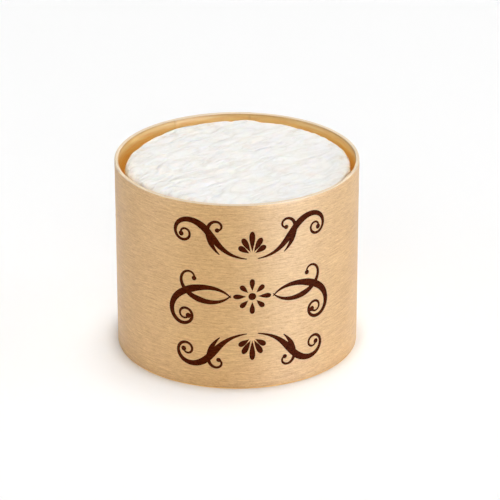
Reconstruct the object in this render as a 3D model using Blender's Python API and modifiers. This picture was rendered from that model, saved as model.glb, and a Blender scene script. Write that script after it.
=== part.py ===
"""A soft round cheese standing in a tall open box of thin bent wood. Metres, +Z up, front at -Y."""

import math

import bmesh
import bpy
from mathutils import Vector, noise

GAP = 0.0003  # left between solids that touch

# The box: a strip of veneer bent into a round wall, and a disc inside its foot
BOX_RADIUS = 0.0365
BOX_HEIGHT = 0.0590
WALL_THICKNESS = 0.00105
WALL_STEPS = 128
RIM_ROUND = 0.0003
RIM_SEGMENTS = 2
LAP_OUTER_END = 83.0  # azimuth in degrees of the strip's end on the outside
LAP_INNER_END = 122.5  # and of its other end, on the inside
LAP_STEP = 0.00018  # how far a thinned end stands out
LAP_FEATHER = 0.7  # degrees over which it falls away
BASE_THICKNESS = 0.0018
BASE_STEPS = 96

# The cheese, placed on its own axis
CHEESE_SHIFT = 0.00055  # how far to the right of the box's axis it stands
CHEESE_FOOT = BASE_THICKNESS + GAP
CHEESE_TOP = BOX_HEIGHT - 0.00105
SHOULDER_RADIUS = 0.0335  # under the rounded top edge
SIDE_BULGE = 0.0005
TOP_ROUND = 0.0026
FOOT_ROUND = 0.0030
FOOT_SEGMENTS = 2
SIDE_ROWS = 3
TOP_CELLS = 56
EDGE_WAVER = 0.00035
EDGE_WAVES = 4.5
EDGE_BLEND = 6  # the higher, the nearer the edge the wavering stays
SLUMP_TURN = math.radians(155.0)  # where the top edge sinks a little
SLUMP_SPREAD = math.radians(22.0)
SLUMP_DEPTH = 0.00085
SLUMP_BLEND = 5  # the higher, the nearer the edge the slump stays
PUSH_TURN = math.radians(188.0)  # where the side stands out a little
PUSH_SPREAD = math.radians(24.0)
PUSH_OUT = 0.00060
SIDE_ROUGHNESS = 0.00015
SIDE_PATCH = 0.0060

# The rind's wrinkles: folded noise, so that they are soft on top and creased between
WRINKLE_HEIGHT = 0.00045
WRINKLE_GAIN = 2.0
WRINKLE_MEAN = 0.5
WRINKLE_ALONG = 0.0085
WRINKLE_ACROSS = 0.0050
WRINKLE_TURN = math.radians(38.0)
WARP_SIZE = 0.0090
WARP_SHIFT = 0.45
FOLD_SEED = 1796025490  # the draw of the warp that the wrinkles follow
SWELL_HEIGHT = 0.00040
SWELL_SIZE = 0.0160
CREASE = ((-0.0210, -0.0228), (-0.0143, -0.0156), (-0.0088, -0.0111), (-0.0021, -0.0042))
CREASE_HEIGHT = 0.00038
CREASE_WIDTH = 0.0011
CREASE_TAPER = 6.0
RIND_FADE = 4  # the higher, the further down the rounded edge the wrinkles reach

BEVEL_ANGLE = math.radians(60.0)
WELD_WITHIN = 0.00001

COLOURS = {
    "cheese": (0.90, 0.88, 0.83, 1.0),
    "box_wall": (0.62, 0.38, 0.17, 1.0),
    "box_base": (0.60, 0.36, 0.16, 1.0),
}
ROUGHNESS = {"cheese": 0.85, "box_wall": 0.50, "box_base": 0.60}


def clear_scene():
    for obj in list(bpy.data.objects):
        bpy.data.objects.remove(obj)


def material_for(name):
    material = bpy.data.materials.new(name)
    material.use_nodes = True
    shader = material.node_tree.nodes["Principled BSDF"]
    shader.inputs["Base Color"].default_value = COLOURS[name]
    shader.inputs["Roughness"].default_value = ROUGHNESS[name]
    material.diffuse_color = COLOURS[name]
    return material


def add_part(name, data, collection):
    obj = bpy.data.objects.new(name, data)
    data.materials.append(material_for(name))
    collection.objects.link(obj)
    return obj


def direction(turn):
    return Vector((math.cos(turn), math.sin(turn), 0.0))


def lap_rise(angle, thick_end, thin_end):
    """The lapped strip's rise at an angle in degrees: 0 at thin_end, growing to 1 at thick_end."""
    share = (angle - thin_end) / (thick_end - thin_end)
    if share < 0.0:
        return 0.0
    if share <= 1.0:
        return share
    return max(0.0, 1.0 - abs(angle - thick_end) / LAP_FEATHER)


def ring_points(radius, outward, thick_end, thin_end):
    """A closed outline round the box, with the low step of the strip's end in it."""
    fall_end = thick_end + math.copysign(LAP_FEATHER, thick_end - thin_end)
    angles = [360.0 * step / WALL_STEPS for step in range(WALL_STEPS)]
    angles += [thick_end, fall_end]
    points = []
    for angle in sorted(angles):
        rise = LAP_STEP * lap_rise(angle, thick_end, thin_end)
        points.append(direction(math.radians(angle)) * (radius + outward * rise))
    return points


def add_outline(curve, points):
    spline = curve.splines.new("POLY")
    spline.points.add(len(points) - 1)
    for target, place in zip(spline.points, points):
        target.co = (place.x, place.y, 0.0, 1.0)
    spline.use_cyclic_u = True


def round_edges(obj, segments):
    weld = obj.modifiers.new("weld", "WELD")
    weld.merge_threshold = WELD_WITHIN
    bevel = obj.modifiers.new("rounded edges", "BEVEL")
    bevel.width = RIM_ROUND
    bevel.segments = segments
    bevel.limit_method = "ANGLE"
    bevel.angle_limit = BEVEL_ANGLE
    bevel.harden_normals = True


def make_wall(collection):
    curve = bpy.data.curves.new("box_wall", "CURVE")
    curve.dimensions = "2D"
    curve.fill_mode = "BOTH"
    curve.extrude = BOX_HEIGHT / 2
    outer = ring_points(BOX_RADIUS, 1.0, LAP_OUTER_END, LAP_INNER_END)
    inner = ring_points(BOX_RADIUS - WALL_THICKNESS, -1.0, LAP_INNER_END, LAP_OUTER_END)
    add_outline(curve, outer)
    add_outline(curve, inner)
    wall = add_part("box_wall", curve, collection)
    wall.location.z = BOX_HEIGHT / 2
    round_edges(wall, RIM_SEGMENTS)


def make_base(collection):
    mesh = bpy.data.meshes.new("box_base")
    shape = bmesh.new()
    radius = BOX_RADIUS - WALL_THICKNESS - LAP_STEP - GAP
    bmesh.ops.create_cone(
        shape,
        cap_ends=True,
        segments=BASE_STEPS,
        radius1=radius,
        radius2=radius,
        depth=BASE_THICKNESS,
    )
    shape.to_mesh(mesh)
    shape.free()
    mesh.shade_smooth()
    base = add_part("box_base", mesh, collection)
    base.location.z = BASE_THICKNESS / 2
    round_edges(base, 1)


def nearest_on_crease(place):
    """The distance to the long crease, and how far along it that lies, from 0 to 1."""
    runs = len(CREASE) - 1
    found = []
    for index in range(runs):
        start = Vector(CREASE[index])
        run = Vector(CREASE[index + 1]) - start
        share = (place - start).dot(run) / run.length_squared
        share = min(1.0, max(0.0, share))
        found.append(((place - start - run * share).length, (index + share) / runs))
    return min(found)


def rind(x, y):
    """The rind's height over the plain top: puffed wrinkles, slow swells and one long crease."""
    place = Vector((x, y, 0.0))
    along = x * math.cos(WRINKLE_TURN) + y * math.sin(WRINKLE_TURN)
    across = y * math.cos(WRINKLE_TURN) - x * math.sin(WRINKLE_TURN)
    warp = noise.noise_vector(place / WARP_SIZE) * WARP_SHIFT
    stretched = Vector((along / WRINKLE_ALONG, across / WRINKLE_ACROSS, 0.0))
    wrinkle = WRINKLE_GAIN * abs(noise.noise(stretched + warp)) - WRINKLE_MEAN
    swell = noise.noise(place / SWELL_SIZE)
    distance, share = nearest_on_crease(place.xy)
    ends = min(1.0, CREASE_TAPER * share, CREASE_TAPER * (1.0 - share))
    crease = ends * math.exp(-((distance / CREASE_WIDTH) ** 2))
    return WRINKLE_HEIGHT * wrinkle + SWELL_HEIGHT * swell + CREASE_HEIGHT * crease


def near_turn(outward, turn, spread):
    """1 in one direction from the middle, falling smoothly to 0 on both sides of it."""
    apart = math.acos(max(-1.0, min(1.0, outward.dot(direction(turn)))))
    return math.exp(-((apart / spread) ** 2))


def edge_waver(outward):
    push = PUSH_OUT * near_turn(outward, PUSH_TURN, PUSH_SPREAD)
    return EDGE_WAVER * noise.noise(outward * EDGE_WAVES) + push


def disc_place(a, b):
    """The reach and turn of a point of the square from -1 to 1, laid ring by ring on a round disc."""
    reach = max(abs(a), abs(b))
    if reach == 0.0:
        return 0.0, 0.0
    if abs(a) >= abs(b):
        turn = math.pi / 4 * b / a
        flipped = a < 0.0
    else:
        turn = math.pi / 2 - math.pi / 4 * a / b
        flipped = b < 0.0
    return reach, turn + (math.pi if flipped else 0.0)


def shape_top(shape):
    """Lays the flat square grid over the top and its rounded edge, and wrinkles it."""
    flat = SHOULDER_RADIUS - TOP_ROUND
    whole = flat + TOP_ROUND * math.pi / 2
    for vert in shape.verts:
        reach, turn = disc_place(vert.co.x, vert.co.y)
        outward = direction(turn)
        tilt = max(0.0, reach * whole - flat) / TOP_ROUND
        radius = min(reach * whole, flat) + TOP_ROUND * math.sin(tilt)
        radius += edge_waver(outward) * reach**EDGE_BLEND
        normal = outward * math.sin(tilt) + Vector((0.0, 0.0, math.cos(tilt)))
        plain = outward * radius
        plain.z = CHEESE_TOP - TOP_ROUND * (1.0 - math.cos(tilt))
        fade = 1.0 - math.sin(tilt) ** RIND_FADE
        vert.co = plain + normal * fade * rind(plain.x, plain.y)
        vert.co.z -= SLUMP_DEPTH * near_turn(outward, SLUMP_TURN, SLUMP_SPREAD) * reach**SLUMP_BLEND


def side_rows():
    """Each row's radius and height, from under the rounded top edge to the edge of the underside."""
    high = CHEESE_TOP - TOP_ROUND
    low = CHEESE_FOOT + FOOT_ROUND
    rows = []
    for index in range(1, SIDE_ROWS + 1):
        share = index / SIDE_ROWS
        radius = SHOULDER_RADIUS + SIDE_BULGE * math.sin(math.pi * share)
        rows.append((radius, high + (low - high) * share))
    for index in range(1, FOOT_SEGMENTS + 1):
        turn = math.pi / 2 * index / FOOT_SEGMENTS
        radius = SHOULDER_RADIUS - FOOT_ROUND * (1.0 - math.cos(turn))
        rows.append((radius, low - FOOT_ROUND * math.sin(turn)))
    return rows


def boundary_of(parts):
    return [part for part in parts if isinstance(part, bmesh.types.BMEdge) and part.is_boundary]


def add_side(shape):
    """Draws the grid's edge down the side, row by row, and closes the underside."""
    edge = boundary_of(shape.edges)
    for radius, height in side_rows():
        made = bmesh.ops.extrude_edge_only(shape, edges=edge)
        edge = boundary_of(made["geom"])
        share = (height - CHEESE_FOOT) / (CHEESE_TOP - CHEESE_FOOT)
        for vert in {end for part in edge for end in part.verts}:
            outward = Vector((vert.co.x, vert.co.y, 0.0)).normalized()
            place = outward * radius
            place.z = height
            rough = SIDE_ROUGHNESS * noise.noise(place / SIDE_PATCH)
            vert.co = place + outward * (rough + share * edge_waver(outward))
    bmesh.ops.holes_fill(shape, edges=edge, sides=0)


def make_cheese(collection):
    mesh = bpy.data.meshes.new("cheese")
    shape = bmesh.new()
    bmesh.ops.create_grid(shape, x_segments=TOP_CELLS, y_segments=TOP_CELLS, size=1.0)
    shape_top(shape)
    add_side(shape)
    bmesh.ops.recalc_face_normals(shape, faces=shape.faces)
    shape.to_mesh(mesh)
    shape.free()
    mesh.shade_smooth()
    cheese = add_part("cheese", mesh, collection)
    cheese.location.x = CHEESE_SHIFT


clear_scene()
noise.seed_set(FOLD_SEED)
boxed_cheese = bpy.data.collections.new("boxed_cheese")
bpy.context.scene.collection.children.link(boxed_cheese)
make_wall(boxed_cheese)
make_base(boxed_cheese)
make_cheese(boxed_cheese)
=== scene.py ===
"""Camera, light, floor, materials and fine meshes of a soft cheese in its tall round veneer box."""
import math

import bmesh
import bpy
import numpy as np
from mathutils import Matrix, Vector, geometry, noise


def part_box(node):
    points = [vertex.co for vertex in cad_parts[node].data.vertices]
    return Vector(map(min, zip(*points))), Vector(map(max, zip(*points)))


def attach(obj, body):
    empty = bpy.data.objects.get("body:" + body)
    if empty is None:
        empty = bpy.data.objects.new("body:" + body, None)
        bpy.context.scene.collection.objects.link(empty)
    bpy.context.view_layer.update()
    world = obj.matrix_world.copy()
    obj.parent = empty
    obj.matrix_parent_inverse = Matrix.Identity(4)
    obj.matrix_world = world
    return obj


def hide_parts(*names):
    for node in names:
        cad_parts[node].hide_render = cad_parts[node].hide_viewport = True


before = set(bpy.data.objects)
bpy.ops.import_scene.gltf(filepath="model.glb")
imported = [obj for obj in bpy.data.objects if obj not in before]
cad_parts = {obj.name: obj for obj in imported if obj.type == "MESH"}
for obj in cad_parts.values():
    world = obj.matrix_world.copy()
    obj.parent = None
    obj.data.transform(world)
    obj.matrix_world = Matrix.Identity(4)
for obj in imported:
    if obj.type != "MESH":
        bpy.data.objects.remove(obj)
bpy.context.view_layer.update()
wall_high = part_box("box_wall")[1]

MM = 0.001
BOX_RADIUS = round(wall_high.x, 6)
BOX_HEIGHT = round(wall_high.z, 6)

# The CAD's own sizes that the fine meshes repeat, in metres
WALL_THICKNESS = 0.00105
RIM_ROUND = 0.0003
LAP_OUTER_END = 83.0
LAP_INNER_END = 122.5
LAP_STEP = 0.00018
CHEESE_SHIFT = 0.00055
CHEESE_FOOT = 0.0021
CHEESE_BELOW_RIM = 0.00105
SHOULDER_RADIUS = 0.0335
SIDE_BULGE = 0.0005
TOP_ROUND = 0.0026
FOOT_ROUND = 0.0030
EDGE_WAVER = 0.00035
EDGE_WAVES = 4.5
EDGE_BLEND = 6
SLUMP_TURN = math.radians(155.0)
SLUMP_SPREAD = math.radians(22.0)
SLUMP_DEPTH = 0.00085
SLUMP_BLEND = 5
PUSH_TURN = math.radians(188.0)
PUSH_SPREAD = math.radians(24.0)
PUSH_OUT = 0.00060
SIDE_ROUGHNESS = 0.00015
SIDE_PATCH = 0.0060
WRINKLE_HEIGHT = 0.00045
WRINKLE_GAIN = 2.0
WRINKLE_MEAN = 0.5
WRINKLE_ALONG = 0.0085
WRINKLE_ACROSS = 0.0050
WRINKLE_TURN = math.radians(38.0)
WARP_SIZE = 0.0090
WARP_SHIFT = 0.45
FOLD_SEED = 1796025490  # the draw of the folds that the CAD solid has
SWELL_HEIGHT = 0.00040
SWELL_SIZE = 0.0160
CREASE = ((-0.0210, -0.0228), (-0.0143, -0.0156), (-0.0088, -0.0111), (-0.0021, -0.0042))
CREASE_HEIGHT = 0.00038
CREASE_WIDTH = 0.0011
CREASE_TAPER = 6.0
RIND_FADE = 4

# Camera, fitted to the box's outline and rim in the photograph
CAMERA_DISTANCE = 0.80252  # from the middle of the rim
CAMERA_ELEVATION = math.radians(22.349)
CAMERA_AIM = (0.003909, 0.0, -0.030565)  # from the middle of the rim
CAMERA_LENS = 193.834
CAMERA_SENSOR = 36.0
CAMERA_RANGE = (0.01, 20.0)

# Fine mesh of the wall
SKIN = 0.00002  # the fine wall lies this far inside the CAD box
COLUMN = 0.60  # mm round the wall
ROW = 1.0  # mm up the wall
CLEAR_OF_OUTLINE = 0.22  # mm without grid points beside the ornament
BURN_DEPTH = 0.00006
LAP_FEATHER = 0.35  # degrees over which a thinned end of the strip falls away
RIM_STEPS = 4
INNER_ROWS = 30
CUT_OUTPUT = 0  # triangles all over the face, with the ornament's outlines among their edges
CUT_TOLERANCE = 0.00001
MERGE_DISTANCE = 0.000001
FRONT = -90.0  # azimuth in degrees
RIM_START = (BOX_HEIGHT - RIM_ROUND) / MM  # mm along the wall's section, up its outside and over its rim
RIM_END = RIM_START + (WALL_THICKNESS - 2 * RIM_ROUND + math.pi * RIM_ROUND) / MM

# The ornament, in mm
ORNAMENT_MIDDLE = (4.4, 30.0)  # round from the front, and up
STROKE_STEP = 0.35
PETAL_POINTS = 26
PETAL_TAPER = 1.4
PETAL_FULLNESS = 0.65
BALL_POINTS = 20
HUB_RADIUS = 1.15
ROSETTE_REACH = 1.7
ROSETTE_PETAL_WIDTH = 1.7
ROSETTE_PETALS = tuple((45 * k, 3.9 if k % 2 == 0 else 3.2) for k in range(8))  # heading, length
FAN_RISE = 13.2
FAN_REACH = 1.0
FAN_PETAL_WIDTH = 1.9
FAN_PETALS = ((90, 6.4), (62, 5.0), (118, 5.0), (34, 3.8), (146, 3.8))
HALF_STROKES = (  # start, heading, length, bends in degrees per mm, widths, and the ball at the end
    (
        (6.2, -0.4), 52, 44,
        (-9, -5.2, -3.2, -7, -13, -20, -30, -46), (0.3, 1.3, 2.3, 2.0, 1.4, 1.0, 0.8, 0.6), 0.85,
    ),
    ((6.2, 0.4), -50, 26, (10, 6, 4, 9, 20, 42), (0.3, 1.2, 1.9, 1.3, 0.8, 0.6), 0.75),
    (
        (1.6, 12.0), 8, 40,
        (3, 5.5, 1.5, -7, -12, -19, -30, -50), (0.3, 1.1, 2.1, 2.2, 1.5, 1.0, 0.8, 0.6), 0.8,
    ),
    ((9.5, 13.3), 40, 17, (8, 3, 12, 30, 56), (0.3, 1.5, 1.2, 0.8, 0.6), 0.7),
    (
        (1.6, -12.0), -8, 38,
        (-3, -5.5, -1.5, 7, 12, 19, 30, 50), (0.3, 1.1, 2.1, 2.2, 1.5, 1.0, 0.8, 0.6), 0.8,
    ),
    ((9.5, -13.3), -40, 16, (-8, -3, -12, -30, -56), (0.3, 1.5, 1.2, 0.8, 0.6), 0.7),
)

# Fine mesh of the cheese
FINE_FOLDS = 2.3
FINE_HEIGHT = 0.00018
FINE_MEAN = 0.25
FINE_LAYER = Vector((0.0, 0.0, 3.0))
SIDE_TINT_DROP = 0.0005
SIDE_TINT_RUN = 0.003
SPECKS = (  # x, y and size in mm of the tan marks
    (-30.2, 3.8, 1.0), (-28.5, 8.5, 1.3), (-22.2, 19.7, 1.2), (-19.5, 21.4, 1.4), (-12.2, 25.4, 1.6),
    (-8.6, 28.7, 1.8), (17.8, 23.6, 1.8), (27.9, 12.2, 1.5), (30.8, 1.9, 1.6),
)
TOP_CELLS = 200
SIDE_ROWS = 22
FOOT_ROWS = 6


def linear(red, green, blue):
    """A colour read as 0 to 255 screen values, as the linear light that the shader takes."""
    found = []
    for part in (red / 255, green / 255, blue / 255):
        found.append(part / 12.92 if part <= 0.04045 else ((part + 0.055) / 1.055) ** 2.4)
    return (*found, 1.0)


# Veneer: waves per mm round the wall and up it, turns in radians, and shares of the tone
NOISE_REACH = (0.3, 0.7)  # the values that a noise mostly takes
DRIFT_WAVES = (0.03, 0.05, 1.0)
DRIFT_STEP = (0.0, 3.0, 0.0)
HAIR_WAVES = (0.16, 2.2, 1.0)
HAIR_TURN = 0.03
HAIR_SHARE = 0.70
DASH_WAVES = (0.50, 2.8, 1.0)
DASH_TURN = -0.05
DASH_SHARE = 0.80
SPECK_WAVES = (2.0, 2.8, 1.0)
SPECK_TURN = 0.6
SPECK_SHARE = 0.45
THREAD_WAVES = (0.13, 1.3, 1.0)
THREAD_SHARE = 0.16
CLOUD_WAVES = (0.075, 0.10, 1.0)
CLOUD_SHARE = 0.22
TONE_REACH = 2.0
TONE_RANGE = (-0.5, 1.5)
PORE_WAVES = (0.55, 2.4, 1.0)
PORE_REACH = (0.26, 0.38)
PORE_SHARE = 0.30
CUT_WAVES = (2.5, 6.0, 1.0)
WOOD_PALE = linear(238, 192, 121)
WOOD_DARK = linear(213, 160, 92)
WOOD_DEEP = linear(190, 135, 70)
# Inner face: paler and warmer than the outside, partly the wood's own colour and partly painted light
# standing in for daylight through the thin veneer
INSIDE_PALE_PAINTED_LIT = linear(255, 225, 150)
INSIDE_DARK_PAINTED_LIT = linear(242, 198, 118)
RIM_PALE = linear(240, 223, 198)
RIM_DARK = linear(228, 205, 173)
STAIN_AND_STEP_SHADE = ((0.1, 1.1, 0.15), (25.0, 0.5, 0.08))  # mm round from the outer end, reach in mm, share: a brown stain at the strip's outer end, and painted shade along the step at its inner end
STAIN_AND_SHADE_CORE = 0.3  # the share of each mark's reach that is evenly dark
STAIN_AND_SHADE_COLOUR = linear(150, 80, 10)
PAINTED_GLOW_COLOUR = linear(255, 172, 48)  # painted glow: emission that stands in for daylight coming through the thin veneer
PAINTED_GLOW_STRENGTH = 0.15
PAINTED_GLOW_RUN = (0.3, 2.5)  # mm below the rim, from no glow to all of it
RIM_BLEED = 0.1  # mm that the cut rim's look reaches past its edges
RIM_FADE = 0.15  # mm inside each edge before it is at its full
INSIDE_FADE = 0.6  # mm below the rim over which the inner face takes its paler colour, which is partly painted light
OUTSIDE_GLOSS = 0.50
RIM_GLOSS = 0.03
INSIDE_GLOSS = 0.25
WALL_ROUGHNESS = (0.36, 0.52)
BASE_ROUGHNESS = (0.42, 0.58)
FIBRE_REACH = (0.2, 0.8)
FIBRE_STRENGTH = 0.5
WALL_FIBRE_RELIEF = 0.00003
BASE_FIBRE_RELIEF = 0.00005

# Burnt ornament
BURN_DARK = linear(58, 14, 0)
BURN_RED = linear(88, 29, 2)
BURN_PALE = linear(118, 52, 14)
BURN_FIBRE_WAVES = (0.5, 3.2, 1.0)
BURN_FIBRE_REACH = (0.5, 0.75)
BURN_FIBRE_SHARE = 0.6
BURN_SPOT_WAVES = 1.3
BURN_SPOT_REACH = (0.35, 0.7)
BURN_ROUGHNESS = (0.45, 0.60)
BURN_GLOSS = 0.01
BURN_RELIEF = 0.00006
BURN_RELIEF_STRENGTH = 0.6

# Rind: waves per mm, and reliefs in mm
RIND_COOL = linear(243, 242, 239)
RIND_WARM = linear(246, 243, 238)
# the greyer colour of the fold troughs is painted shade
RIND_TROUGH_SHADE = linear(228, 224, 216)
RIND_TAN = linear(207, 186, 153)
RIND_SIDE = linear(231, 213, 175)
PATCH_WAVES = 0.16
PATCH_REACH = (0.35, 0.65)
FOLD_TURN = math.radians(38.0)
WIDE_WAVES = (0.06, 0.17, 0.15)
WIDE_RELIEF = 2.0
NARROW_WAVES = (0.11, 0.30, 0.3)
NARROW_RELIEF = 1.5
TROUGH_WIDTH = 0.05
NARROW_TROUGH = 0.6  # as a share of a wide fold's trough
TROUGH_SHADE_SHARE = 0.45
TROUGH_RELIEF = 0.06
TAN_WAVES = 1.1
TAN_REACH = (0.35, 0.6)
TAN_SHARE = 0.45
SIDE_SHARE = 0.9
SIDE_REACH = 0.8
FUZZ_WAVES = 3.0
FUZZ_RELIEF = 0.04
RIND_ROUGHNESS = 0.9
RIND_DEPTH = (1.0, 0.8, 0.6)  # how far red, green and blue light spread, times RIND_DEPTH_SCALE
RIND_DEPTH_SCALE = 0.0006
RIND_DEPTH_SHARE = 0.35

# Floor
FLOOR_COLOUR = linear(254, 254, 254)
FLOOR_SIZE = 4.0

# Light
WORLD_COLOUR = (1.0, 1.0, 1.0, 1.0)
WORLD_STRENGTH = 0.07
BACKDROP_STRENGTH = 1.0  # the world as the camera sees it
LIGHTS = (  # name, azimuth, elevation, distance, size, power, and whether it lights matt surfaces too
    ("overhead", 0.0, 89.9, 3.0, (0.33, 0.33), 42.7, True),
    ("overhead_right", 60.0, 85.0, 3.0, (0.33, 0.33), 4.5, True),
    ("back", 150.0, 80.0, 3.0, (0.88, 0.88), 25.2, True),
    ("front", 0.0, 30.0, 3.0, (2.2, 1.8), 19.3, True),
    ("front_left", -50.0, 25.0, 3.0, (2.2, 1.8), 5.9, True),
    ("side", 85.0, 9.0, 3.0, (1.5, 0.65), 19.5, True),
    ("sheen_front", 46.0, 16.0, 3.0, (1.4, 1.5), 950.0, False),
    ("sheen_side", 86.0, 16.0, 3.0, (2.0, 1.5), 350.0, False),
    ("sheen_left", -74.0, 16.0, 3.0, (1.5, 1.5), 370.0, False),
    ("sheen_far_left", -130.0, 16.0, 3.0, (1.5, 1.5), 65.0, False),
)
SHEEN_COLOUR = (1.0, 1.0, 0.98)
PLAIN_COLOUR = (1.0, 1.0, 1.0)
BOUNCES = 8


# Small helpers
def direction(turn):
    return Vector((math.cos(turn), math.sin(turn), 0.0))


def new_object(name, mesh):
    obj = bpy.data.objects.new(name, mesh)
    bpy.context.scene.collection.objects.link(obj)
    return obj


def add_values(mesh, name, values):
    layer = mesh.attributes.new(name, "FLOAT", "POINT")
    layer.data.foreach_set("value", np.asarray(values, np.float32))


# The ornament, drawn flat in mm
def scroll(start, heading, length, bends, widths):
    """A stroke from a start: its bend in degrees per mm and its width change smoothly along it."""
    count = int(length / STROKE_STEP)
    share = np.linspace(0.0, 1.0, count + 1)
    bend = np.radians(np.interp(share, np.linspace(0.0, 1.0, len(bends)), bends))
    gained = np.cumsum((bend[1:] + bend[:-1]) / 2 * length / count)
    turn = math.radians(heading) + np.concatenate(([0.0], gained))
    middle = (turn[1:] + turn[:-1]) / 2
    x = start[0] + np.concatenate(([0.0], np.cumsum(np.cos(middle) * length / count)))
    z = start[1] + np.concatenate(([0.0], np.cumsum(np.sin(middle) * length / count)))
    width = np.interp(share, np.linspace(0.0, 1.0, len(widths)), widths)
    return np.c_[x, z], width, turn


def stroke_outline(points, width, turn):
    """The closed outline of a stroke, half its width to each side of its points."""
    normal = np.c_[-np.sin(turn), np.cos(turn)] * width[:, None] / 2
    return np.vstack([points + normal, (points - normal)[::-1]])


def teardrop(tip, heading, length, width):
    """Pointed at its tip and round at its far end."""
    t = np.linspace(0.0, 2 * np.pi, PETAL_POINTS, endpoint=False)
    along = (1 - np.cos(t)) / 2 * length
    across = np.sin(t) * np.abs(np.sin(t / 2)) ** PETAL_TAPER * width * PETAL_FULLNESS
    turn = math.radians(heading)
    x = tip[0] + along * math.cos(turn) - across * math.sin(turn)
    z = tip[1] + along * math.sin(turn) + across * math.cos(turn)
    return np.c_[x, z]


def ball(centre, radius):
    t = np.linspace(0.0, 2 * np.pi, BALL_POINTS, endpoint=False)
    return np.c_[centre[0] + radius * np.cos(t), centre[1] + radius * np.sin(t)]


def mirrored(shape):
    """The outline on the other side of the middle, with its points still in order."""
    return np.c_[-shape[::-1, 0], shape[::-1, 1]]


def petals(middle, reach, fan, width):
    """Teardrops fanned round a point: (heading, length) pairs."""
    made = []
    for heading, length in fan:
        turn = math.radians(heading)
        tip = (middle[0] + reach * math.cos(turn), middle[1] + reach * math.sin(turn))
        made.append(teardrop(tip, heading, length, width))
    return made


def counterclockwise(shape):
    ahead = np.roll(shape, -1, axis=0)
    area = (shape[:, 0] * ahead[:, 1] - ahead[:, 0] * shape[:, 1]).sum()
    return shape if area > 0 else shape[::-1]


def ornament():
    """The outlines of a mirrored scroll ornament in three tiers round a rosette."""
    shapes = [ball((0.0, 0.0), HUB_RADIUS)]
    shapes += petals((0.0, 0.0), ROSETTE_REACH, ROSETTE_PETALS, ROSETTE_PETAL_WIDTH)
    upper = petals((0.0, FAN_RISE), FAN_REACH, FAN_PETALS, FAN_PETAL_WIDTH)
    shapes += upper + [shape[::-1] * (1.0, -1.0) for shape in upper]
    for start, heading, length, bends, widths, knob in HALF_STROKES:
        points, width, turn = scroll(start, heading, length, bends, widths)
        for shape in (stroke_outline(points, width, turn), ball(points[-1], knob)):
            shapes += [shape, mirrored(shape)]
    return [counterclockwise(shape) for shape in shapes]


# The wall
def lap_rise(angle, thick_end, thin_end):
    """The lapped strip's rise at an angle in degrees: 0 at thin_end, growing to 1 at thick_end."""
    share = (angle - thin_end) / (thick_end - thin_end)
    if share < 0.0:
        return 0.0
    if share <= 1.0:
        return share
    return max(0.0, 1.0 - abs(angle - thick_end) / LAP_FEATHER)


def wall_radius(angle, inset):
    """The radius at an angle in degrees: inset 0 is the outer face and 1 the inner."""
    outer = max(lap_rise(turn, LAP_OUTER_END, LAP_INNER_END) for turn in (angle, angle - 360.0))
    inner = lap_rise(angle, LAP_INNER_END, LAP_OUTER_END)
    outside = BOX_RADIUS - SKIN + LAP_STEP * outer
    inside = BOX_RADIUS - WALL_THICKNESS - LAP_STEP * inner
    return outside + (inside - outside) * inset


def on_wall(angle, inset, height):
    """The point of the wall at an angle in degrees, an inset from 0 to 1 and a height in metres."""
    place = direction(math.radians(angle)) * wall_radius(angle, inset)
    place.z = height
    return place


def round_mm(angle):
    """How far round the wall an angle lies, in mm from the strip's outer end."""
    return math.radians(angle - LAP_OUTER_END) * BOX_RADIUS / MM


def angle_at(distance):
    """The angle in degrees that lies this many mm round the wall."""
    return LAP_OUTER_END + math.degrees(distance * MM / BOX_RADIUS)


def wall_columns():
    """Angles once round the wall from the strip's outer end, with one at each edge of the lap."""
    count = round(2 * math.pi * BOX_RADIUS / MM / COLUMN)
    angles = [LAP_OUTER_END + 360.0 * step / count for step in range(count + 1)]
    lap_edges = [LAP_OUTER_END + 360.0 - LAP_FEATHER, LAP_INNER_END, LAP_INNER_END + LAP_FEATHER]
    return sorted(angles + lap_edges)


def rim_rows():
    """(inset, height) in metres: the outer face's top, over the rim, down inside and round the foot."""
    near, far = RIM_ROUND, WALL_THICKNESS - RIM_ROUND
    top, foot = BOX_HEIGHT - SKIN - RIM_ROUND, RIM_ROUND
    rows = []
    for across, up, start in ((near, top, 180), (far, top, 90), (far, foot, 0), (near, foot, -90)):
        for step in range(RIM_STEPS + 1):
            turn = math.radians(start - 90.0 * step / RIM_STEPS)
            rows.append((across + RIM_ROUND * math.cos(turn), up + RIM_ROUND * math.sin(turn)))
        if start == 90:
            heights = np.linspace(top, foot, INNER_ROWS + 1)[1:-1]
            rows += [(WALL_THICKNESS, height) for height in heights]
    return rows


def flat_face():
    """The outer face unrolled, in mm, as a grid cut along the ornament's outlines.

    Returns its points, its triangles and whether each triangle is burnt.
    """
    columns = [round_mm(angle) for angle in wall_columns()]
    top = (BOX_HEIGHT - SKIN - RIM_ROUND) / MM
    foot = RIM_ROUND / MM
    heights = np.linspace(foot, top, round((top - foot) / ROW) + 1)
    middle = np.array((round_mm(FRONT + 360.0) + ORNAMENT_MIDDLE[0], ORNAMENT_MIDDLE[1]))
    outlines = [shape + middle for shape in ornament()]
    lines = np.vstack(outlines)
    grid = np.array([(x, z) for x in columns for z in heights])
    across, up = grid.T
    edge = np.isin(across, (columns[0], columns[-1])) | np.isin(up, (foot, top))
    near = np.zeros(len(grid), bool)
    around = (grid > lines.min(0) - ROW).all(1) & (grid < lines.max(0) + ROW).all(1)
    for index in np.nonzero(around)[0]:
        near[index] = (np.abs(lines - grid[index]).sum(1) < CLEAR_OF_OUTLINE * 2).any()
    points = list(grid[edge | ~near])
    faces = []
    for shape in outlines:
        faces.append(list(range(len(points), len(points) + len(shape))))
        points += list(shape)
    verts, _, triangles, _, _, sources = geometry.delaunay_2d_cdt(
        [Vector(point) for point in points], [], faces, CUT_OUTPUT, CUT_TOLERANCE
    )
    return np.array([tuple(vert) for vert in verts]), triangles, [bool(found) for found in sources]


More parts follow.
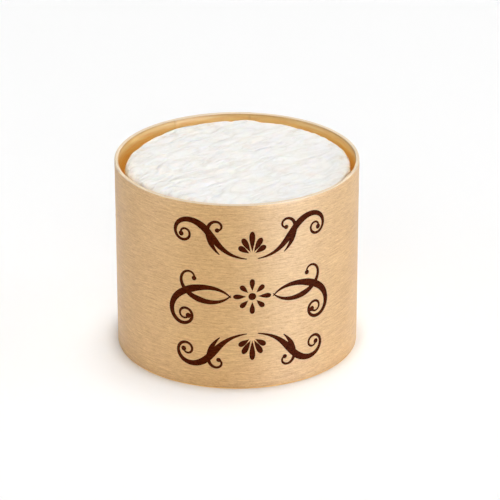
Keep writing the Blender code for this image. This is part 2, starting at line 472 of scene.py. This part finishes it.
def grid_faces(rows, columns):
    """Quads between the rows and columns of a grid of points numbered row by row."""
    quads = []
    for row in range(rows - 1):
        for column in range(columns - 1):
            start = row * columns + column
            quads.append((start, start + columns, start + columns + 1, start + 1))
    return quads


def mesh_of(name, places, faces, flat):
    """A smooth mesh with its unrolled places (mm round, mm along) as the UV map "veneer"."""
    mesh = bpy.data.meshes.new(name)
    mesh.from_pydata(places, [], faces)
    layer = mesh.uv_layers.new(name="veneer")
    corners = np.array([flat[index] for face in faces for index in face], np.float32)
    layer.data.foreach_set("uv", corners.ravel())
    shape = bmesh.new()
    shape.from_mesh(mesh)
    bmesh.ops.remove_doubles(shape, verts=shape.verts, dist=MERGE_DISTANCE)
    bmesh.ops.recalc_face_normals(shape, faces=shape.faces)
    shape.to_mesh(mesh)
    shape.free()
    mesh.shade_smooth()
    return mesh


def make_wall():
    """The wall's fine mesh with the ornament's place left open, and the burnt ornament that fills it."""
    points, triangles, burnt = flat_face()
    rim = rim_rows()
    angles = wall_columns()
    used_outside = {index for face, is_burnt in zip(triangles, burnt) if not is_burnt for index in face}

    places = [on_wall(angle_at(x), 0.0, z * MM) for x, z in points]
    wall_faces = [tuple(face) for face, is_burnt in zip(triangles, burnt) if not is_burnt]
    flat = [(x, z) for x, z in points]
    burnt_places = [
        place - direction(math.radians(angle_at(x))) * (0.0 if index in used_outside else BURN_DEPTH)
        for index, (place, (x, z)) in enumerate(zip(places, points))
    ]
    burnt_faces = [tuple(face) for face, is_burnt in zip(triangles, burnt) if is_burnt]

    start = len(places)
    run = RIM_START
    last = rim[0]
    for across, height in rim:
        run += math.hypot(across - last[0], height - last[1]) / MM
        last = (across, height)
        for angle in angles:
            places.append(on_wall(angle, across / WALL_THICKNESS, height))
            flat.append((round_mm(angle), run))
    quads = grid_faces(len(rim), len(angles))
    wall_faces += [tuple(start + index for index in quad) for quad in quads]
    wall = new_object("veneer_wall", mesh_of("veneer_wall", places, wall_faces, flat))

    kept = sorted({index for face in burnt_faces for index in face})
    number = {index: order for order, index in enumerate(kept)}
    mark = new_object(
        "burnt_ornament",
        mesh_of(
            "burnt_ornament",
            [burnt_places[index] for index in kept],
            [tuple(number[index] for index in face) for face in burnt_faces],
            [flat[index] for index in kept],
        ),
    )
    return wall, mark


# The cheese
def nearest_on_crease(place):
    """The distance to the long crease, and how far along it that lies, from 0 to 1."""
    runs = len(CREASE) - 1
    found = []
    for index in range(runs):
        start = Vector(CREASE[index])
        run = Vector(CREASE[index + 1]) - start
        share = (place - start).dot(run) / run.length_squared
        share = min(1.0, max(0.0, share))
        found.append(((place - start - run * share).length, (index + share) / runs))
    return min(found)


def rind(x, y):
    """The rind's height over the plain top, as on the CAD solid, with finer folds on it."""
    place = Vector((x, y, 0.0))
    along = x * math.cos(WRINKLE_TURN) + y * math.sin(WRINKLE_TURN)
    across = y * math.cos(WRINKLE_TURN) - x * math.sin(WRINKLE_TURN)
    warp = noise.noise_vector(place / WARP_SIZE) * WARP_SHIFT
    stretched = Vector((along / WRINKLE_ALONG, across / WRINKLE_ACROSS, 0.0))
    wrinkle = WRINKLE_GAIN * abs(noise.noise(stretched + warp)) - WRINKLE_MEAN
    swell = noise.noise(place / SWELL_SIZE)
    distance, share = nearest_on_crease(place.xy)
    ends = min(1.0, CREASE_TAPER * share, CREASE_TAPER * (1.0 - share))
    crease = ends * math.exp(-((distance / CREASE_WIDTH) ** 2))
    fine = abs(noise.noise(stretched * FINE_FOLDS + warp * 2.0 + FINE_LAYER))
    coarse = WRINKLE_HEIGHT * wrinkle + SWELL_HEIGHT * swell + CREASE_HEIGHT * crease
    return coarse + FINE_HEIGHT * (fine - FINE_MEAN)


def near_turn(outward, turn, spread):
    """1 in one direction from the middle, falling smoothly to 0 on both sides of it."""
    apart = math.acos(max(-1.0, min(1.0, outward.dot(direction(turn)))))
    return math.exp(-((apart / spread) ** 2))


def edge_waver(outward):
    """How far the side stands out in one direction from the middle."""
    push = PUSH_OUT * near_turn(outward, PUSH_TURN, PUSH_SPREAD)
    return EDGE_WAVER * noise.noise(outward * EDGE_WAVES) + push


def disc_place(a, b):
    """The reach and turn of a point of the square from -1 to 1, laid ring by ring on a round disc."""
    reach = max(abs(a), abs(b))
    if reach == 0.0:
        return 0.0, 0.0
    if abs(a) >= abs(b):
        turn = math.pi / 4 * b / a
        flipped = a < 0.0
    else:
        turn = math.pi / 2 - math.pi / 4 * a / b
        flipped = b < 0.0
    return reach, turn + (math.pi if flipped else 0.0)


def shape_top(shape, top):
    """Bends the square grid into the round top with its rounded edge, folds and slump."""
    flat = SHOULDER_RADIUS - TOP_ROUND
    whole = flat + TOP_ROUND * math.pi / 2
    for vert in shape.verts:
        reach, turn = disc_place(vert.co.x, vert.co.y)
        outward = direction(turn)
        tilt = max(0.0, reach * whole - flat) / TOP_ROUND
        radius = min(reach * whole, flat) + TOP_ROUND * math.sin(tilt)
        radius += edge_waver(outward) * reach**EDGE_BLEND
        normal = outward * math.sin(tilt) + Vector((0.0, 0.0, math.cos(tilt)))
        plain = outward * radius
        plain.z = top - TOP_ROUND * (1.0 - math.cos(tilt))
        fade = 1.0 - math.sin(tilt) ** RIND_FADE
        vert.co = plain + normal * fade * rind(plain.x, plain.y)
        vert.co.z -= SLUMP_DEPTH * near_turn(outward, SLUMP_TURN, SLUMP_SPREAD) * reach**SLUMP_BLEND


def side_rows(top):
    """(radius, height) of each row below the top's edge, down the side and round the foot."""
    high = top - TOP_ROUND
    low = CHEESE_FOOT + FOOT_ROUND
    rows = []
    for index in range(1, SIDE_ROWS + 1):
        share = index / SIDE_ROWS
        radius = SHOULDER_RADIUS + SIDE_BULGE * math.sin(math.pi * share)
        rows.append((radius, high + (low - high) * share))
    for index in range(1, FOOT_ROWS + 1):
        turn = math.pi / 2 * index / FOOT_ROWS
        radius = SHOULDER_RADIUS - FOOT_ROUND * (1.0 - math.cos(turn))
        rows.append((radius, low - FOOT_ROUND * math.sin(turn)))
    return rows


def boundary_of(parts):
    return [part for part in parts if isinstance(part, bmesh.types.BMEdge) and part.is_boundary]


def add_side(shape, top):
    """Draws the top's edge down row by row, then closes the underside."""
    edge = boundary_of(shape.edges)
    for radius, height in side_rows(top):
        made = bmesh.ops.extrude_edge_only(shape, edges=edge)
        edge = boundary_of(made["geom"])
        share = (height - CHEESE_FOOT) / (top - CHEESE_FOOT)
        for vert in {end for part in edge for end in part.verts}:
            outward = Vector((vert.co.x, vert.co.y, 0.0)).normalized()
            place = outward * radius
            place.z = height
            rough = SIDE_ROUGHNESS * noise.noise(place / SIDE_PATCH)
            vert.co = place + outward * (rough + share * edge_waver(outward))
    bmesh.ops.holes_fill(shape, edges=edge, sides=0)


def tint(mesh, top):
    """How tan and how far down the side each point lies, for the rind's material."""
    places = np.empty(len(mesh.vertices) * 3, np.float32)
    mesh.vertices.foreach_get("co", places)
    places = places.reshape(-1, 3)
    tan = np.zeros(len(places))
    for x, y, size in SPECKS:
        gap = np.hypot(places[:, 0] - x * MM, places[:, 1] - y * MM) / (size * MM)
        tan = np.maximum(tan, np.exp(-gap**2))
    add_values(mesh, "tan", tan)
    add_values(mesh, "side", np.clip((top - SIDE_TINT_DROP - places[:, 2]) / SIDE_TINT_RUN, 0, 1))


def make_cheese():
    top = BOX_HEIGHT - CHEESE_BELOW_RIM
    shape = bmesh.new()
    bmesh.ops.create_grid(shape, x_segments=TOP_CELLS, y_segments=TOP_CELLS, size=1.0)
    shape_top(shape, top)
    add_side(shape, top)
    bmesh.ops.recalc_face_normals(shape, faces=shape.faces)
    bmesh.ops.translate(shape, verts=shape.verts, vec=(CHEESE_SHIFT, 0.0, 0.0))
    mesh = bpy.data.meshes.new("soft_cheese")
    shape.to_mesh(mesh)
    shape.free()
    mesh.shade_smooth()
    tint(mesh, top)
    return new_object("soft_cheese", mesh)


# Materials
class Shader:
    """A material's node tree, with short calls for the nodes used here."""

    def __init__(self, name):
        self.material = bpy.data.materials.new(name)
        self.material.use_nodes = True
        self.tree = self.material.node_tree
        self.surface = self.tree.nodes["Principled BSDF"]

    def node(self, kind, **settings):
        made = self.tree.nodes.new(kind)
        for key, value in settings.items():
            setattr(made, key, value)
        return made

    def put(self, socket, value):
        if isinstance(value, bpy.types.NodeSocket):
            self.tree.links.new(value, socket)
        else:
            socket.default_value = value

    def scaled(self, place, scale, move=(0.0, 0.0, 0.0)):
        made = self.node("ShaderNodeMapping")
        self.put(made.inputs["Vector"], place)
        made.inputs["Scale"].default_value = scale
        made.inputs["Location"].default_value = move
        return made.outputs["Vector"]

    def noise(self, place, scale=1.0, detail=2.0, roughness=0.5, warp=0.0):
        made = self.node("ShaderNodeTexNoise")
        self.put(made.inputs["Vector"], place)
        made.inputs["Scale"].default_value = scale
        made.inputs["Detail"].default_value = detail
        made.inputs["Roughness"].default_value = roughness
        made.inputs["Distortion"].default_value = warp
        return made.outputs["Fac"]

    def in_mm(self):
        """A point's own place in mm."""
        return self.scaled(self.node("ShaderNodeTexCoord").outputs["Object"], (1 / MM, 1 / MM, 1 / MM))

    def turned(self, place, angle):
        made = self.node("ShaderNodeVectorRotate", rotation_type="Z_AXIS")
        self.put(made.inputs["Vector"], place)
        made.inputs["Angle"].default_value = -angle
        return made.outputs["Vector"]

    def moved(self, place, step, share):
        """place, moved by step as many times as share says."""
        made = self.node("ShaderNodeVectorMath", operation="MULTIPLY_ADD")
        made.inputs[0].default_value = step
        self.put(made.inputs[1], share)
        self.put(made.inputs[2], place)
        return made.outputs["Vector"]

    def spread(self, value, low, high, to_low=0.0, to_high=1.0, clamp=True):
        made = self.node("ShaderNodeMapRange", clamp=clamp)
        self.put(made.inputs["Value"], value)
        for name, number in zip(("From Min", "From Max", "To Min", "To Max"), (low, high, to_low, to_high)):
            made.inputs[name].default_value = number
        return made.outputs["Result"]

    def math(self, operation, first, second=0.0):
        made = self.node("ShaderNodeMath", operation=operation)
        self.put(made.inputs[0], first)
        self.put(made.inputs[1], second)
        return made.outputs["Value"]

    def mix_value(self, share, first, second):
        """A number that runs from first at share 0 to second at share 1."""
        step = self.math("MULTIPLY", share, self.math("SUBTRACT", second, first))
        return self.math("ADD", first, step)

    def mix(self, share, first, second):
        made = self.node("ShaderNodeMix", data_type="RGBA", clamp_factor=False)
        self.put(made.inputs["Factor"], share)
        self.put(made.inputs["A"], first)
        self.put(made.inputs["B"], second)
        return made.outputs["Result"]

    def value(self, name):
        return self.node("ShaderNodeAttribute", attribute_name=name).outputs["Fac"]

    def bump(self, height, distance, strength=1.0):
        made = self.node("ShaderNodeBump")
        self.put(made.inputs["Height"], height)
        made.inputs["Distance"].default_value = distance
        made.inputs["Strength"].default_value = strength
        self.put(self.surface.inputs["Normal"], made.outputs["Normal"])

    def set(self, **values):
        for name, value in values.items():
            self.put(self.surface.inputs[name.replace("_", " ")], value)


def veneer_tone(shader, place):
    """Peeled veneer: hairs and dashes along the strip, specks, faint threads, cloudy patches and pores."""
    drift = shader.noise(shader.scaled(place, DRIFT_WAVES), detail=1.0)
    place = shader.moved(place, DRIFT_STEP, drift)
    hair_place = shader.scaled(shader.turned(place, HAIR_TURN), HAIR_WAVES)
    dash_place = shader.scaled(shader.turned(place, DASH_TURN), DASH_WAVES)
    speck_place = shader.turned(shader.scaled(place, SPECK_WAVES, (4.0, 1.0, 0.0)), SPECK_TURN)
    hairs = shader.noise(hair_place, roughness=0.6, warp=0.3)
    dashes = shader.noise(dash_place, roughness=0.6, warp=0.3)
    specks = shader.noise(speck_place, detail=1.0)
    threads = shader.noise(shader.scaled(place, THREAD_WAVES, (9.0, 3.0, 0.0)), detail=3.0, roughness=0.55)
    cloud = shader.noise(shader.scaled(place, CLOUD_WAVES, (2.0, 7.0, 0.0)), detail=3.0)
    tone = shader.spread(dashes, *NOISE_REACH, -DASH_SHARE, DASH_SHARE)
    layers = ((hairs, HAIR_SHARE), (specks, SPECK_SHARE), (threads, THREAD_SHARE), (cloud, CLOUD_SHARE))
    for layer, share in layers:
        tone = shader.math("ADD", tone, shader.spread(layer, *NOISE_REACH, -share, share))
    paleness = shader.spread(tone, -TONE_REACH, TONE_REACH, *TONE_RANGE, clamp=False)
    colour = shader.mix(paleness, WOOD_DARK, WOOD_PALE)
    pores = shader.noise(shader.scaled(place, PORE_WAVES, (1.0, 5.0, 0.0)))
    colour = shader.mix(shader.spread(pores, *PORE_REACH, PORE_SHARE, 0.0), colour, WOOD_DEEP)
    return colour, dashes, threads


def stained_and_shaded(shader, colour, around, inside):
    """On the inner face: a brown stain at the strip's outer end, and a thin line of painted shade along the
    step at its inner end.
    """
    for middle, reach, share in STAIN_AND_STEP_SHADE:
        away = shader.math("ABSOLUTE", shader.math("SUBTRACT", around, middle))
        stain_and_shade = shader.math("MULTIPLY", inside, shader.spread(away, reach * STAIN_AND_SHADE_CORE, reach, share, 0.0))
        colour = shader.mix(stain_and_shade, colour, STAIN_AND_SHADE_COLOUR)
    return colour


def veneer_material():
    """Glossy outside, pale where the rim is cut, and paler and warmer inside, with painted light and a
    painted glow that stand in for daylight coming through the wall.
    """
    shader = Shader("peeled_veneer")
    place = shader.node("ShaderNodeUVMap", uv_map="veneer").outputs["UV"]
    parts = shader.node("ShaderNodeSeparateXYZ")
    shader.put(parts.inputs[0], place)
    around, along = parts.outputs["X"], parts.outputs["Y"]
    up_to_rim = shader.spread(along, RIM_START - RIM_BLEED, RIM_START + RIM_FADE)
    short_of_inside = shader.spread(along, RIM_END - RIM_FADE, RIM_END + RIM_BLEED, 1.0, 0.0)
    rim = shader.math("MULTIPLY", up_to_rim, short_of_inside)
    inside = shader.spread(along, RIM_END, RIM_END + INSIDE_FADE)

    colour, dashes, threads = veneer_tone(shader, place)
    # painted light: the inner face's paler, warmer colours
    inner_painted_lit_colour = shader.mix(shader.spread(threads, *NOISE_REACH), INSIDE_DARK_PAINTED_LIT, INSIDE_PALE_PAINTED_LIT)
    colour = stained_and_shaded(shader, shader.mix(inside, colour, inner_painted_lit_colour), around, inside)
    cut = shader.noise(shader.scaled(place, CUT_WAVES), roughness=0.6)
    colour = shader.mix(rim, colour, shader.mix(shader.spread(cut, *NOISE_REACH), RIM_DARK, RIM_PALE))
    gloss = shader.spread(along, RIM_START - RIM_BLEED, RIM_START + RIM_BLEED, OUTSIDE_GLOSS, RIM_GLOSS)
    gloss = shader.mix_value(inside, gloss, INSIDE_GLOSS)
    # Painted glow: from just below the rim down the inner face and round the foot, the wall emits light
    # that stands in for daylight through the veneer
    painted_glow = shader.spread(along, RIM_END + PAINTED_GLOW_RUN[0], RIM_END + PAINTED_GLOW_RUN[1], 0.0, PAINTED_GLOW_STRENGTH)

    shader.set(Base_Color=colour, Roughness=shader.spread(dashes, *FIBRE_REACH, *WALL_ROUGHNESS))
    shader.set(Specular_IOR_Level=gloss, Emission_Color=PAINTED_GLOW_COLOUR, Emission_Strength=painted_glow)
    shader.bump(shader.math("ADD", dashes, threads), WALL_FIBRE_RELIEF, FIBRE_STRENGTH)
    return shader.material


def burnt_material():
    """Scorched veneer, blacker and redder in spots, with paler fibres."""
    shader = Shader("burnt_mark")
    place = shader.node("ShaderNodeUVMap", uv_map="veneer").outputs["UV"]
    fibres = shader.noise(shader.scaled(place, BURN_FIBRE_WAVES), detail=3.0, roughness=0.6)
    spots = shader.noise(place, BURN_SPOT_WAVES, detail=3.0, roughness=0.6)
    colour = shader.mix(shader.spread(spots, *BURN_SPOT_REACH), BURN_DARK, BURN_RED)
    colour = shader.mix(shader.spread(fibres, *BURN_FIBRE_REACH, 0.0, BURN_FIBRE_SHARE), colour, BURN_PALE)
    shader.set(Base_Color=colour, Roughness=shader.spread(fibres, *FIBRE_REACH, *BURN_ROUGHNESS))
    shader.set(Specular_IOR_Level=BURN_GLOSS)
    shader.bump(fibres, BURN_RELIEF, BURN_RELIEF_STRENGTH)
    return shader.material


def base_material():
    shader = Shader("base_veneer")
    colour, dashes, threads = veneer_tone(shader, shader.in_mm())
    shader.set(Base_Color=colour, Roughness=shader.spread(dashes, *FIBRE_REACH, *BASE_ROUGHNESS))
    shader.bump(shader.math("ADD", dashes, threads), BASE_FIBRE_RELIEF, FIBRE_STRENGTH)
    return shader.material


def fold_trough(shader, fold, depth):
    """depth along the bottom of a fold, falling to 0 beside it."""
    away = shader.math("ABSOLUTE", shader.math("SUBTRACT", fold, 0.5))
    return shader.spread(away, 0.0, TROUGH_WIDTH, depth, 0.0)


def rind_material():
    """White mould: cool and warm patches, fine folds with painted shade in their troughs, tan marks and a
    creamy side.
    """
    shader = Shader("bloomy_rind")
    place = shader.in_mm()
    folded = shader.turned(place, FOLD_TURN)
    patches = shader.noise(place, PATCH_WAVES, detail=3.0)
    wide = shader.noise(shader.scaled(folded, WIDE_WAVES), warp=1.0)
    narrow = shader.noise(shader.scaled(folded, NARROW_WAVES, (5.0, 2.0, 0.0)), warp=0.8)
    troughs = shader.math("ADD", fold_trough(shader, wide, 1.0), fold_trough(shader, narrow, NARROW_TROUGH))
    mottle = shader.spread(shader.noise(place, TAN_WAVES, detail=3.0, roughness=0.6), *TAN_REACH)
    tan = shader.math("MULTIPLY", shader.value("tan"), mottle)
    side = shader.spread(shader.value("side"), 0.0, SIDE_REACH, 0.0, SIDE_SHARE)

    colour = shader.mix(shader.spread(patches, *PATCH_REACH), RIND_COOL, RIND_WARM)
    # painted shade: the fold troughs are greyer
    colour = shader.mix(shader.math("MULTIPLY", troughs, TROUGH_SHADE_SHARE), colour, RIND_TROUGH_SHADE)
    colour = shader.mix(shader.math("MULTIPLY", tan, TAN_SHARE), colour, RIND_TAN)
    colour = shader.mix(side, colour, RIND_SIDE)
    shader.set(Base_Color=colour, Roughness=RIND_ROUGHNESS, Specular_IOR_Level=0.0)
    shader.set(Subsurface_Radius=RIND_DEPTH, Subsurface_Scale=RIND_DEPTH_SCALE)
    shader.set(Subsurface_Weight=RIND_DEPTH_SHARE)

    fuzz = shader.noise(place, FUZZ_WAVES, detail=4.0, roughness=0.65)
    relief = shader.math("MULTIPLY", fuzz, FUZZ_RELIEF)
    for height, gain in ((wide, WIDE_RELIEF), (narrow, NARROW_RELIEF), (troughs, -TROUGH_RELIEF)):
        relief = shader.math("ADD", relief, shader.math("MULTIPLY", height, gain))
    shader.bump(relief, MM)
    return shader.material


# Stage, light and camera
def make_floor():
    shader = Shader("studio_floor")
    shader.set(Base_Color=FLOOR_COLOUR, Roughness=1.0, Specular_IOR_Level=0.0)
    mesh = bpy.data.meshes.new("studio_floor")
    half = FLOOR_SIZE / 2
    corners = [(-half, -half, 0.0), (half, -half, 0.0), (half, half, 0.0), (-half, half, 0.0)]
    mesh.from_pydata(corners, [], [(0, 1, 2, 3)])
    mesh.materials.append(shader.material)
    floor = new_object("studio_floor", mesh)


def add_area(name, azimuth, elevation, distance, size, power, lights_matt):
    """A soft light. Azimuth 0 is in front of the object and 90 to its right, in degrees."""
    light = bpy.data.lights.new(name, "AREA")
    light.shape = "RECTANGLE"
    light.size, light.size_y = size
    light.energy = power
    light.color = PLAIN_COLOUR if lights_matt else SHEEN_COLOUR
    lamp = bpy.data.objects.new(name, light)
    lamp.visible_diffuse = lights_matt
    light.cycles.max_bounces = BOUNCES if lights_matt else 0
    bpy.context.scene.collection.objects.link(lamp)
    turn, rise = math.radians(azimuth), math.radians(elevation)
    back = Vector((math.sin(turn) * math.cos(rise), -math.cos(turn) * math.cos(rise), math.sin(rise)))
    lamp.location = back * distance + Vector((0.0, 0.0, BOX_HEIGHT / 2))
    lamp.rotation_euler = back.to_track_quat("Z", "Y").to_euler()


def make_light():
    world = bpy.data.worlds.new("studio")
    world.use_nodes = True
    tree = world.node_tree
    backdrop = tree.nodes["Background"]
    backdrop.inputs["Color"].default_value = WORLD_COLOUR
    path = tree.nodes.new("ShaderNodeLightPath")
    strength = tree.nodes.new("ShaderNodeMapRange")
    strength.inputs["To Min"].default_value = WORLD_STRENGTH
    strength.inputs["To Max"].default_value = BACKDROP_STRENGTH
    tree.links.new(path.outputs["Is Camera Ray"], strength.inputs["Value"])
    tree.links.new(strength.outputs["Result"], backdrop.inputs["Strength"])
    bpy.context.scene.world = world
    for settings in LIGHTS:
        add_area(*settings)


def make_camera():
    data = bpy.data.cameras.new("camera")
    data.lens = CAMERA_LENS
    data.sensor_width = CAMERA_SENSOR
    data.clip_start, data.clip_end = CAMERA_RANGE
    camera = bpy.data.objects.new("camera", data)
    bpy.context.scene.collection.objects.link(camera)
    rim = Vector((0.0, 0.0, BOX_HEIGHT))
    back = Vector((0.0, -math.cos(CAMERA_ELEVATION), math.sin(CAMERA_ELEVATION)))
    camera.location = rim + back * CAMERA_DISTANCE
    aim = rim + Vector(CAMERA_AIM)
    camera.rotation_euler = (aim - camera.location).to_track_quat("-Z", "Y").to_euler()
    bpy.context.scene.camera = camera


# The scene
view = bpy.context.scene.view_settings
view.view_transform = "Standard"
view.look = "None"

noise.seed_set(FOLD_SEED)
make_camera()
make_floor()
make_light()

wall, mark = make_wall()
wall.data.materials.append(veneer_material())
mark.data.materials.append(burnt_material())
cheese = make_cheese()
cheese.data.materials.append(rind_material())
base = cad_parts["box_base"]
base.data.materials.clear()
base.data.materials.append(base_material())

for piece in (wall, mark, cheese):
    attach(piece, "root")
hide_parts("box_wall")
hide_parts("cheese")
